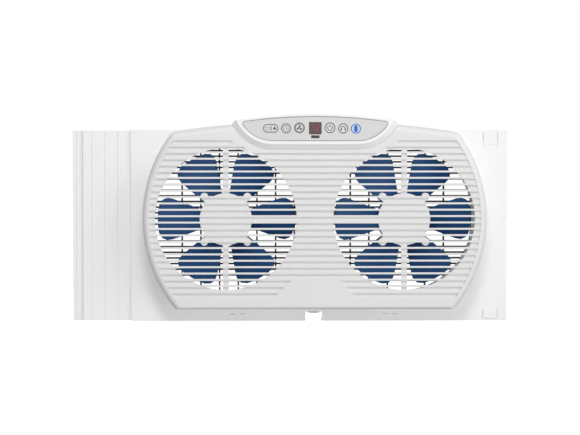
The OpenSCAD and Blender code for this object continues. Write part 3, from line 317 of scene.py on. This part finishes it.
def blade_plastic(name, base):
    """Satin blue plastic with long faint flow marks that run outwards."""
    finish = Finish(name)
    flow = finish.noise(scale=60, detail=4, stretch=(1, 3, 1))
    grit = finish.noise(scale=900, detail=1)
    return finish.surface(
        base_color=finish.mix(flow, shade(base, 0.85), shade(base, 1.2)),
        roughness=0.5 + 0.12 * flow + 0.05 * grit,
        specular=0.3,
        normal=finish.relief(flow * 0.6 + grit * 0.1, depth=0.00004, edge=0.0005),
    )


def printed_film(name, base):
    """Matt polyester film with a very fine grain."""
    finish = Finish(name)
    grain = finish.noise(scale=2600, detail=1)
    cloud = finish.noise(scale=12, detail=2)
    return finish.surface(
        base_color=finish.mix(cloud, shade(base, 0.97), shade(base, 1.03)),
        roughness=0.42 + 0.1 * grain,
        specular=0.35,
        normal=finish.relief(grain, depth=0.00001, edge=0.0002),
    )


def ink(name, base, glow=0.0):
    """Screen-printed ink of a slightly uneven tone."""
    finish = Finish(name)
    blot = finish.noise(scale=700, detail=3)
    return finish.surface(
        base_color=finish.mix(blot, shade(base, 0.85), shade(base, 1.15)),
        roughness=0.45 + 0.15 * blot,
        emission=(*base, 1),
        emission_strength=glow,
        normal=finish.relief(blot, depth=0.00001, edge=0.00005),
    )


def dark_filter(name, base):
    """Tinted acrylic with a polished face and faint dust."""
    finish = Finish(name)
    dust = finish.step(finish.noise(scale=420, detail=5), low=0.62, high=0.8)
    return finish.surface(
        base_color=finish.mix(dust * 0.25, base, shade(base, 2.5)),
        roughness=0.12 + 0.3 * dust,
        coat=0.5,
        coat_roughness=0.06,
        normal=finish.relief(dust, depth=0.000004, edge=0.0002),
    )


def plated_steel(name, base):
    """Zinc-plated pressed steel: faint spangle and drawing lines."""
    finish = Finish(name)
    sockets = {"Vector": finish.place(), "Scale": 240.0}
    spangle = finish.add("ShaderNodeTexVoronoi", {"feature": "SMOOTH_F1"}, sockets)
    lines = finish.noise(scale=900, detail=3, stretch=(1, 0.05, 1))
    return finish.surface(
        base_color=finish.mix(spangle, shade(base, 0.85), shade(base, 1.1)),
        metallic=1.0,
        roughness=0.28 + 0.2 * spangle + 0.1 * lines,
        normal=finish.relief(lines, depth=0.00001, edge=0.0003),
    )


def layered_steel(name, base):
    """Stacked laminations, seen as fine lines across the shaft."""
    finish = Finish(name)
    sheets = finish.waves("Y", scale=320.0, distortion=0.4)
    rust = finish.noise(scale=120, detail=4)
    face = finish.mix(rust, base, shade(base, 1.3))
    return finish.surface(
        base_color=finish.mix(sheets, shade(base, 0.5), face),
        metallic=0.8,
        roughness=0.45 + 0.2 * rust,
        normal=finish.relief(sheets, depth=0.00008, edge=0.0002),
    )


def wound_wire(name, base):
    """Enamelled wire laid in neat turns."""
    finish = Finish(name)
    turns = finish.waves("DIAGONAL", scale=420.0, distortion=1.2)
    tint = finish.noise(scale=150, detail=2)
    wire = finish.mix(tint, shade(base, 0.8), shade(base, 1.15))
    return finish.surface(
        base_color=finish.mix(turns, shade(base, 0.25), wire),
        metallic=0.7,
        roughness=0.3 + 0.15 * tint,
        normal=finish.relief(turns, depth=0.00015, edge=0.0003),
    )


def sintered_bronze(name, base):
    """Porous bronze, damp with oil."""
    finish = Finish(name)
    pores = finish.step(finish.noise(scale=2200, detail=2), low=0.5, high=0.7)
    return finish.surface(
        base_color=finish.mix(pores, base, shade(base, 0.35)),
        metallic=0.9,
        roughness=0.35 + 0.2 * pores,
        normal=finish.relief(1 - pores, depth=0.00002, edge=0.0003),
    )


def circuit_board(name, base):
    """Green solder resist with paler copper tracks under it."""
    finish = Finish(name)
    sockets = {"Vector": finish.place((1, 1, 1.7)), "Scale": 90.0, "Randomness": 0.7}
    tracks = finish.add("ShaderNodeTexVoronoi", {"feature": "DISTANCE_TO_EDGE"}, sockets)
    copper = 1 - finish.step(tracks, low=0.03, high=0.06)
    return finish.surface(
        base_color=finish.mix(copper, base, shade(base, 2.2)),
        roughness=0.35 + 0.1 * finish.noise(scale=60, detail=2),
        coat=0.3,
        normal=finish.relief(copper, depth=0.00003, edge=0.0002),
    )


def paper_cone(name, base):
    """Black treated paper with fibres."""
    finish = Finish(name)
    fibre = finish.noise(scale=500, detail=5)
    return finish.surface(
        base_color=finish.mix(fibre, shade(base, 0.7), shade(base, 1.6)),
        roughness=0.8 + 0.1 * fibre,
        normal=finish.relief(fibre, depth=0.0001, edge=0.0003),
    )


# ---------------------------------------------------------------- objects
def new_object(name, data):
    """Adds an object to the scene."""
    thing = bpy.data.objects.new(name, data)
    bpy.context.scene.collection.objects.link(thing)
    return thing


def new_mesh(name, bm):
    """Ends a bmesh as a mesh."""
    mesh = bpy.data.meshes.new(name)
    bm.to_mesh(mesh)
    bm.free()
    return mesh


def new_piece(name, mesh, material, body):
    """Turns a mesh into a piece that rides on a body and takes its finish from a slot."""
    mesh.materials.clear()
    mesh.materials.append(material)
    piece = new_object(name, mesh)
    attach(piece, body)
    return piece


def paint(node, material):
    """Gives a CAD node its finish."""
    mesh = frame["nodes"][node].data
    mesh.materials.clear()
    mesh.materials.append(material)


def smooth_copy(node, material, body):
    """Stands a merged copy with smooth round surfaces in for a CAD node."""
    mesh = frame["nodes"][node].data.copy()
    for layer in ("custom_normal", "sharp_edge", "sharp_face"):
        if layer in mesh.attributes:
            mesh.attributes.remove(mesh.attributes[layer])
    bm = bmesh.new()
    bm.from_mesh(mesh)
    bmesh.ops.remove_doubles(bm, verts=bm.verts, dist=WELD)
    for face in bm.faces:
        face.smooth = True
    for edge in bm.edges:
        edge.smooth = edge.is_manifold and edge.calc_face_angle(math.pi) < CREASE
    bm.to_mesh(mesh)
    bm.free()
    piece = new_piece(node + "_moulding", mesh, material, body)
    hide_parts(node)
    weigh = piece.modifiers.new("flat faces stay flat", "WEIGHTED_NORMAL")
    weigh.keep_sharp = True
    weigh.weight = 100


# ---------------------------------------------------------------- printed symbols
def add_ring(bm, radius, width, arc=math.tau, start=0.0, steps=64):
    """A flat ring, or an arc of one, spun from a short line."""
    ends = [
        bm.verts.new((r * math.cos(start), r * math.sin(start), 0))
        for r in (radius - width / 2, radius + width / 2)
    ]
    line = bm.edges.new(ends)
    bmesh.ops.spin(
        bm, geom=[*ends, line], cent=(0, 0, 0), axis=(0, 0, 1), angle=arc,
        steps=steps, use_merge=arc == math.tau,
    )


def add_bar(bm, centre, size):
    """A flat upright or level bar of size (width, height)."""
    place = Matrix.Translation((*centre, 0)) @ Matrix.Diagonal((*size, 1, 1))
    bmesh.ops.create_grid(bm, x_segments=1, y_segments=1, size=0.5, matrix=place)


def add_disc(bm, centre, radius, spread=(0, 0), segments=16, squash=1.0, turn=0.0):
    """A flat disc, drawn out to a pill by spread or squashed to an oval, then turned."""
    verts = bmesh.ops.create_circle(bm, cap_ends=True, segments=segments, radius=radius)["verts"]
    middle = radius / 100
    for vert in verts:
        x, y, _ = vert.co
        x += math.copysign(spread[0], x) if abs(x) > middle else 0
        y += math.copysign(spread[1], y) if abs(y) > middle else 0
        vert.co = (x, y * squash, 0)
    place = Matrix.Translation((*centre, 0)) @ Matrix.Rotation(turn, 4, "Z")
    bmesh.ops.transform(bm, matrix=place, verts=verts)
    return verts[0].link_faces[0]


def hollow(bm, face, rim):
    """Cuts the middle out of a flat face and leaves its rim."""
    bmesh.ops.inset_region(bm, faces=[face], thickness=rim, use_boundary=True)
    bmesh.ops.delete(bm, geom=[face], context="FACES_ONLY")


def add_pill_ring(bm, width, height, line):
    """The outline of a pill, made by cutting the middle out of a disc drawn out sideways."""
    half_h = height / 2
    pill = add_disc(bm, (0, 0), half_h, spread=(width / 2 - half_h, 0), segments=48)
    hollow(bm, pill, line)


def printed(name, bm, at, body, material):
    """Gives a flat symbol its ink thickness and lays it on a face that looks to the room."""
    sizes = bpy.context.scene.fan_print
    bmesh.ops.recalc_face_normals(bm, faces=bm.faces)
    lifted = bmesh.ops.extrude_face_region(bm, geom=list(bm.faces), use_keep_orig=True)
    verts = [v for v in lifted["geom"] if isinstance(v, bmesh.types.BMVert)]
    bmesh.ops.translate(bm, vec=(0, 0, sizes.thickness), verts=verts)
    bmesh.ops.translate(bm, vec=(0, 0, -sizes.sink), verts=bm.verts)
    place = Matrix.Translation(at) @ Matrix.Rotation(math.pi / 2, 4, "X")
    bmesh.ops.transform(bm, matrix=place, verts=bm.verts)
    bmesh.ops.recalc_face_normals(bm, faces=bm.faces)
    new_piece(name, new_mesh(name, bm), material, body)


def edge_line(node, width):
    """A flat ring just inside the edge of a node's front face, drawn in x and z."""
    low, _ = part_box(node)
    sheet = bmesh.new()
    sheet.from_mesh(frame["nodes"][node].data)
    bmesh.ops.remove_doubles(sheet, verts=sheet.verts, dist=WELD)
    behind = [f for f in sheet.faces if f.calc_center_median().y > low.y + 2 * WELD]
    bmesh.ops.delete(sheet, geom=behind, context="FACES")
    start = min(sheet.verts, key=lambda v: v.co.x)
    loop = [start]
    while True:
        rims = [e.other_vert(loop[-1]) for e in loop[-1].link_edges if e.is_boundary]
        ahead = [v for v in rims if v not in loop[-2:]]
        if not ahead or ahead[0] is start:
            break
        loop.append(ahead[0])
    bm = bmesh.new()
    flat = bm.faces.new([bm.verts.new((v.co.x, v.co.z, 0)) for v in loop])
    sheet.free()
    bmesh.ops.recalc_face_normals(bm, faces=[flat])
    hollow(bm, flat, width)
    return bm


def cap_of(button):
    """Middle, front and size of a button's cap: ((x, front, z), half width, half height)."""
    low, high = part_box("button_" + button)
    middle, half = (low + high) / 2, (high - low) / 2
    return (middle.x, low.y, middle.z), half.x - CAP_COLLAR, half.z - CAP_COLLAR


# The numbers in a symbol are shares of r, half the height of its cap.
def draw_clock(bm, r, sizes):
    """Timer: a clock face with two hands."""
    add_ring(bm, 0.58 * r, sizes.fine_line)
    add_bar(bm, (0, 0.16 * r), (sizes.fine_line, 0.40 * r))
    add_bar(bm, (0.16 * r, 0), (0.36 * r, sizes.fine_line))


def draw_fan(bm, r, sizes):
    """Fan speed: three blades round a hub, in a thin ring."""
    blades = 3
    first, lean = math.radians(80), math.radians(35)
    for i in range(blades):
        turn = first + math.tau * i / blades
        middle = (0.34 * r * math.cos(turn), 0.34 * r * math.sin(turn))
        add_disc(bm, middle, 0.27 * r, squash=0.62, turn=turn + lean, segments=24)
    add_disc(bm, (0, 0), 0.11 * r)
    add_ring(bm, 0.76 * r, sizes.fine_line)


def draw_power(bm, r, sizes):
    """Power: an open ring and an upright bar."""
    gap = math.radians(70)
    add_ring(bm, 0.48 * r, sizes.line, arc=math.tau - gap, start=math.pi / 2 + gap / 2)
    add_bar(bm, (0, 0.40 * r), (sizes.line, 0.62 * r))


def draw_headphones(bm, r, sizes):
    """Sound: a headband and two ear cups."""
    droop = math.radians(10)
    add_ring(bm, 0.42 * r, sizes.line, arc=math.pi + 2 * droop, start=-droop, steps=32)
    for side in (-1, 1):
        add_disc(bm, (side * 0.40 * r, -0.20 * r), 0.14 * r, spread=(0, 0.10 * r))


def draw_modes(bm, r, sizes):
    """Mode: air in, air exchange and air out, as an open triangle, two bars and a full one."""
    for side in (-1, 1):
        turn = (side - 1) * math.pi / 2
        face = add_disc(bm, (side * 0.95 * r, 0), 0.56 * r, segments=3, turn=turn)
        if side < 0:
            hollow(bm, face, sizes.fine_line)
        add_bar(bm, (side * 0.16 * r, 0), (sizes.fine_line, 1.1 * r))


def draw_capsule(bm, r, sizes):
    """Pairing: a plain upright capsule."""
    add_disc(bm, (0, 0), 0.36 * r, spread=(0, 0.34 * r), segments=32)


SYMBOLS = {
    "mode": draw_modes,
    "timer": draw_clock,
    "speed": draw_fan,
    "power": draw_power,
    "sound": draw_headphones,
    "pairing": draw_capsule,
}

# Which bars of a seven-bar digit are lit: top, upper right, lower right, bottom, lower left,
# upper left, middle
LIT_BARS = {
    0: "1111110", 1: "0110000", 2: "1101101", 3: "1111001", 4: "0110011",
    5: "1011011", 6: "1011111", 7: "1110000", 8: "1111111", 9: "1111011",
}


def add_digit(bm, digit, middle, width, height):
    """A seven-bar digit."""
    bar = width * 0.2
    gap = bar * 0.3
    half_w = (width - bar) / 2
    quarter = (height - bar) / 4
    across = (width - 2 * bar, bar)
    upright = (bar, height / 2 - bar - gap)
    bars = [
        ((0, 2 * quarter), across), ((half_w, quarter), upright), ((half_w, -quarter), upright),
        ((0, -2 * quarter), across), ((-half_w, -quarter), upright), ((-half_w, quarter), upright),
        ((0, 0), across),
    ]
    for lit, (spot, size) in zip(LIT_BARS[digit], bars):
        if lit == "1":
            add_bar(bm, (middle[0] + spot[0], middle[1] + spot[1]), size)


# ---------------------------------------------------------------- operators
class FanOperator(bpy.types.Operator):
    """Shared base: the operators make pieces and take no input."""

    bl_options = {"REGISTER", "UNDO"}


class WINDOWFAN_OT_camera(FanOperator):
    """Place the camera as in the photograph"""

    bl_idname = "window_fan.camera"
    bl_label = "Camera"

    def execute(self, context):
        studio = context.scene.fan_studio
        data = bpy.data.cameras.new("camera")
        data.lens = studio.lens
        data.sensor_width = 36
        data.clip_start = 0.1
        data.clip_end = 100
        camera = new_object("camera", data)
        back = Vector((
            -math.sin(studio.yaw) * math.cos(studio.rise),
            -math.cos(studio.yaw) * math.cos(studio.rise),
            math.sin(studio.rise),
        ))
        camera.location = Vector(studio.aim) + back * studio.distance
        camera.rotation_euler = (-back).to_track_quat("-Z", "Y").to_euler()
        context.scene.camera = camera
        return {"FINISHED"}


class WINDOWFAN_OT_shells(FanOperator):
    """Finish the white cover, frame, control panel shell, slides and latches"""

    bl_idname = "window_fan.shells"
    bl_label = "White Shells"

    def execute(self, context):
        colours = context.scene.fan_colours
        white = moulded_plastic("white_plastic", colours.housing)
        cover_white = moulded_plastic("cover_plastic", colours.cover)
        smooth_copy("front_cover", cover_white, "frame")
        for node in ("control_bezel", "main_housing"):
            smooth_copy(node, white, "frame")
        for node in PLAIN_SHELLS:
            paint(node, white)
        return {"FINISHED"}


class WINDOWFAN_OT_fans(FanOperator):
    """Finish the impellers and the nuts that hold them"""

    bl_idname = "window_fan.fans"
    bl_label = "Fans"

    def execute(self, context):
        blue = blade_plastic("blade_blue", context.scene.fan_colours.blades)
        for side in SIDES:
            for node in ("impeller_", "blade_nut_"):
                smooth_copy(node + side, blue, "fan_" + side)
        return {"FINISHED"}


class WINDOWFAN_OT_grille(FanOperator):
    """Finish the rear grille and the cord bush"""

    bl_idname = "window_fan.grille"
    bl_label = "Rear Grille"

    def execute(self, context):
        # The grille's near-black is painted shade for its shadow behind the cover; the cord bush's
        # grey is that near-black made lighter.
        black = context.scene.fan_colours.grille
        paint("rear_grille", moulded_plastic("black_plastic", black, rough=0.42))
        rubber = moulded_plastic("gland_grey", shade(black, 1.6), rough=0.6, grain=0.00005)
        paint("cord_gland", rubber)
        return {"FINISHED"}


class WINDOWFAN_OT_motors(FanOperator):
    """Finish the motors, shafts, bearings and screws"""

    bl_idname = "window_fan.motors"
    bl_label = "Motors"

    def execute(self, context):
        colours = context.scene.fan_colours
        case_steel = plated_steel("motor_steel", colours.steel)
        finishes = {
            "motor_case_": case_steel,
            "motor_bell_": case_steel,
            "stator_": layered_steel("core_steel", shade(colours.steel, 0.45)),
            "windings_": wound_wire("winding", colours.copper),
            "bearings_": sintered_bronze("bronze", colours.bronze),
            "shaft_": plated_steel("shaft_steel", shade(colours.steel, 1.2)),
            "rotor_": layered_steel("rotor_metal", shade(colours.steel, 0.9)),
        }
        for node, material in finishes.items():
            for side in SIDES:
                paint(node + side, material)
        screw_steel = plated_steel("screw_steel", shade(colours.steel, 1.1))
        for group in ("cover", "grille", "motor", "board", "speaker", "power_board"):
            paint(group + "_screws", screw_steel)
        return {"FINISHED"}


class WINDOWFAN_OT_electronics(FanOperator):
    """Finish the boards, switches, capacitors and the loudspeaker"""

    bl_idname = "window_fan.electronics"
    bl_label = "Electronics"

    def execute(self, context):
        colours = context.scene.fan_colours
        green = circuit_board("board_green", colours.board)
        for node in ("control_board", "power_board"):
            paint(node, green)
        black = moulded_plastic("component", colours.component, rough=0.35)
        for node in ("display_module", "ir_receiver", "tact_switches"):
            paint(node, black)
        paint("run_capacitors", moulded_plastic("capacitor", colours.capacitor, rough=0.3))
        paint("speaker_frame", moulded_plastic("speaker_steel", colours.speaker, rough=0.3))
        paint("speaker_cone", paper_cone("speaker_paper", colours.cone))
        return {"FINISHED"}


class WINDOWFAN_OT_buttons(FanOperator):
    """Finish the overlay and the button caps, and print a symbol on each cap"""

    bl_idname = "window_fan.buttons"
    bl_label = "Buttons"

    def execute(self, context):
        colours = context.scene.fan_colours
        self.print_overlay(colours, context.scene.fan_print)
        caps = {"pairing": printed_film("pairing_blue", colours.pairing)}
        inks = {"pairing": ink("pairing_ink", colours.pairing_ink)}
        grey = printed_film("button_grey", colours.button)
        dark_ink = ink("button_ink", colours.ink)
        for button in SYMBOLS:
            paint("button_" + button, caps.get(button, grey))
            self.print_symbol(button, inks.get(button, dark_ink), context.scene.fan_print)
        return {"FINISHED"}

    def print_overlay(self, colours, sizes):
        """Finishes the grey film and draws the line round it."""
        node = "control_overlay"
        paint(node, printed_film("overlay", colours.overlay))
        line = edge_line(node, sizes.outline)
        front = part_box(node)[0].y
        dark = ink("overlay_outline", colours.outline)
        printed("overlay_outline", line, (0, front, 0), "frame", dark)

    def print_symbol(self, button, material, sizes):
        """Prints a ring and a symbol on a cap, as one piece that travels with the button."""
        at, half_w, half_h = cap_of(button)
        inset = 2 * sizes.ring_inset - sizes.line
        bm = bmesh.new()
        add_pill_ring(bm, 2 * half_w - inset, 2 * half_h - inset, sizes.line)
        SYMBOLS[button](bm, half_h, sizes)
        body = button + "_button"
        printed(body + "_symbol", bm, at, body, material)


class WINDOWFAN_OT_display(FanOperator):
    """Finish the display and the infra-red window, and draw the digits"""

    bl_idname = "window_fan.display"
    bl_label = "Display"

    def execute(self, context):
        colours = context.scene.fan_colours
        sizes = context.scene.fan_print
        paint("display_window", dark_filter("display", colours.display))
        paint("ir_window", dark_filter("ir_filter", colours.infrared))
        low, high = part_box("display_window")
        middle = (low + high) / 2
        bm = bmesh.new()
        for side, digit in zip((-1, 1), divmod(sizes.number, 10)):
            spot = (side * sizes.digit_shift, 0)
            add_digit(bm, digit, spot, sizes.digit_width, sizes.digit_height)
        glow = ink("display_digits", colours.digits, sizes.digit_glow)
        printed("display_digits", bm, (middle.x, low.y, middle.z), "frame", glow)
        return {"FINISHED"}


def lamp(name, power, direction, distance, size, blockers=None):
    """A square soft lamp that looks at the fan. Only the blockers, if any are named, shade it."""
    data = bpy.data.lights.new(name, "AREA")
    data.size = size
    data.energy = power
    light = new_object(name, data)
    if blockers:
        group = bpy.data.collections.new(name + "_blockers")
        for part in blockers:
            group.objects.link(part)
        light.light_linking.blocker_collection = group
    out = Vector(direction).normalized()
    light.location = Vector(bpy.context.scene.fan_studio.aim) + out * distance
    light.rotation_euler = (-out).to_track_quat("-Z", "Y").to_euler()


class WINDOWFAN_OT_stage(FanOperator):
    """Make the pale floor, the white surroundings and the lamps"""

    bl_idname = "window_fan.stage"
    bl_label = "Stage"

    def execute(self, context):
        studio = context.scene.fan_studio
        context.scene.view_settings.view_transform = "Standard"
        context.scene.world = self.make_world(studio)
        self.make_floor(studio)
        slides = [frame["nodes"][node] for node in PLAIN_SHELLS]
        flange = bpy.data.objects["main_housing_moulding"]
        lamp(
            "side_lamp", studio.side_power, direction=(0.82, -0.50, 0.28), distance=8, size=3.0,
            blockers=[*slides, flange],
        )
        lamp("top_lamp", studio.top_power, direction=(0, -0.84, 0.54), distance=2.5, size=0.6)
        lamp(
            "front_lamp", studio.front_power, direction=(0.30, -0.80, 0.50), distance=5, size=2.0,
            blockers=slides,
        )
        lamp("back_lamp", studio.back_power, direction=(-0.5, 0.75, 0.45), distance=5, size=2.5)
        return {"FINISHED"}

    def make_world(self, studio):
        """White where it is seen, and dimmer where it lights the fan."""
        finish = Finish("white_surroundings", "worlds")
        strength = finish.seen_directly() * (1 - studio.ambient) + studio.ambient
        sockets = {"Color": (1, 1, 1, 1), "Strength": strength}
        sky = finish.add("ShaderNodeBackground", sockets=sockets)
        finish.add("ShaderNodeOutputWorld", sockets={"Surface": sky})
        return finish.owner

    def make_floor(self, studio):
        """A matt floor that is lifted to white where it is seen, so that it has no horizon."""
        finish = Finish("pale_floor")
        base = (studio.floor_tone,) * 3
        tone = finish.mix(finish.noise(scale=3, detail=2), shade(base, 0.99), shade(base, 1.01))
        matt = finish.add("ShaderNodeBsdfDiffuse", sockets={"Color": tone})
        lift = finish.seen_directly() * (OVERWHITE - studio.floor_tone * studio.ambient)
        sockets = {"Color": (1, 1, 1, 1), "Strength": lift}
        glow = finish.add("ShaderNodeEmission", sockets=sockets)
        both = finish.add("ShaderNodeAddShader", sockets={0: matt, 1: glow})
        finish.add("ShaderNodeOutputMaterial", sockets={"Surface": both})
        bm = bmesh.new()
        bmesh.ops.create_grid(bm, x_segments=1, y_segments=1, size=studio.floor_size / 2)
        bmesh.ops.translate(bm, vec=(0, 0, -studio.floor_drop), verts=bm.verts)
        mesh = new_mesh("floor", bm)
        mesh.materials.append(finish.owner)
        new_object("floor", mesh)


class WINDOWFAN_PT_panel(bpy.types.Panel):
    """Lists the steps and the sizes that can be changed"""

    bl_label = "Window Fan"
    bl_space_type = "VIEW_3D"
    bl_region_type = "UI"
    bl_category = "Window Fan"

    def draw(self, context):
        for name in GROUPS:
            group = getattr(context.scene, name)
            box = self.layout.box()
            for setting in group.__annotations__:
                box.prop(group, setting)
        for step in STEPS:
            self.layout.operator(step.bl_idname)


GROUPS = {"fan_colours": FanColours, "fan_print": FanPrint, "fan_studio": FanStudio}
STEPS = (
    WINDOWFAN_OT_camera,
    WINDOWFAN_OT_shells,
    WINDOWFAN_OT_fans,
    WINDOWFAN_OT_grille,
    WINDOWFAN_OT_motors,
    WINDOWFAN_OT_electronics,
    WINDOWFAN_OT_buttons,
    WINDOWFAN_OT_display,
    WINDOWFAN_OT_stage,
)


def register():
    """Registers the settings, the operators and the panel."""
    for group in (*GROUPS.values(), *STEPS, WINDOWFAN_PT_panel):
        bpy.utils.register_class(group)
    for name, group in GROUPS.items():
        setattr(bpy.types.Scene, name, PointerProperty(type=group))


def unregister():
    """Takes back what register did."""
    for name in GROUPS:
        delattr(bpy.types.Scene, name)
    for group in (WINDOWFAN_PT_panel, *reversed(STEPS), *GROUPS.values()):
        bpy.utils.unregister_class(group)


def main():
    """Makes every piece in order."""
    register()
    for step in STEPS:
        _, name = step.bl_idname.split(".")
        getattr(bpy.ops.window_fan, name)()


if __name__ == "__main__":
    main()
